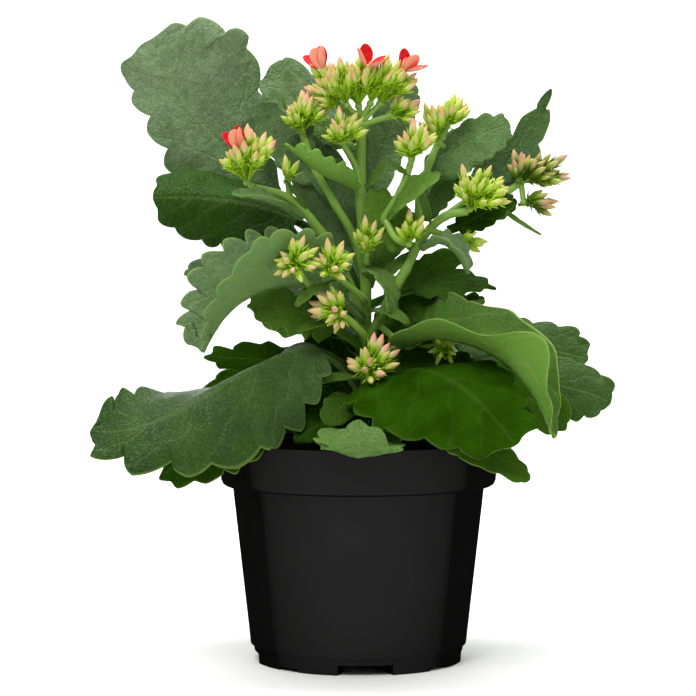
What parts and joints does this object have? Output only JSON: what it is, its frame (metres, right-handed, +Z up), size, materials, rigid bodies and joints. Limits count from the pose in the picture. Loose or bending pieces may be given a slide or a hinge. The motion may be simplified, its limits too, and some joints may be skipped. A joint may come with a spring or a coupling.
{
  "type": "potted kalanchoe plant",
  "caption": "Flowering kalanchoe with fleshy scalloped leaves and clusters of flower buds on upright branched stems, rooted in potting mix in a round plastic nursery pot.",
  "frame": {"origin": "centre of the pot's footprint on the surface it stands on", "axes": "+Z up along the pot's axis, -Y towards the front that the picture shows, +X to the right seen from the front"},
  "size_m": [0.2202, 0.1482, 0.2766],
  "materials": {
    "black_plastic": "matte black moulded plastic with a soft sheen",
    "peat": "dark brown crumbly peat potting mix",
    "stem": "smooth fleshy light green stem",
    "leaf": "waxy dark green upper side with a paler margin",
    "bud": "cream and yellow-green buds with pink to red tips"
  },
  "bodies": {
    "root": {"bract_head_left": "leaf", "bract_left": "leaf", "bract_right": "leaf", "bract_strap": "leaf", "branch_far_right": "stem", "branch_left": "stem", "branch_left_inner": "stem", "branch_right": "stem", "branch_right_inner": "stem", "branch_right_upper": "stem", "head_centre": "bud", "head_far_right": "bud", "head_front_centre": "bud", "head_front_left": "bud", "head_front_low": "bud", "head_front_lower": "bud", "head_left": "bud", "head_left_small": "bud", "head_left_upper": "bud", "head_middle": "bud", "head_middle_right": "bud", "head_right": "bud", "head_right_inner": "bud", "head_right_low": "bud", "head_right_small": "bud", "head_right_upper": "bud", "head_top": "bud", "leaf_back_centre_left": "leaf", "leaf_back_centre_right": "leaf", "leaf_back_left": "leaf", "leaf_back_right": "leaf", "leaf_behind_left_branches": "leaf", "leaf_front_curled": "leaf", "leaf_front_small": "leaf", "leaf_giant_upper_left": "leaf", "leaf_inner_right": "leaf", "leaf_large_front_right": "leaf", "leaf_large_lower_left": "leaf", "leaf_left_back_low": "leaf", "leaf_left_behind": "leaf", "leaf_left_middle": "leaf", "leaf_left_ridged": "leaf", "leaf_left_trough": "leaf", "leaf_right_dark": "leaf", "leaf_right_inner": "leaf", "leaf_right_lower": "leaf", "leaf_right_middle": "leaf", "leaf_right_tip": "leaf", "leaf_right_trough": "leaf", "leaf_right_upper": "leaf", "leaf_rolled": "leaf", "leaf_top_left": "leaf", "leaf_top_right": "leaf", "leaf_under_front_right": "leaf", "leaf_under_lower_left": "leaf", "leaf_upper_far_right": "leaf", "leaf_upper_right": "leaf", "main_stem": "stem", "pot": "black_plastic", "potting_mix": "peat"}
  },
  "joints": []
}
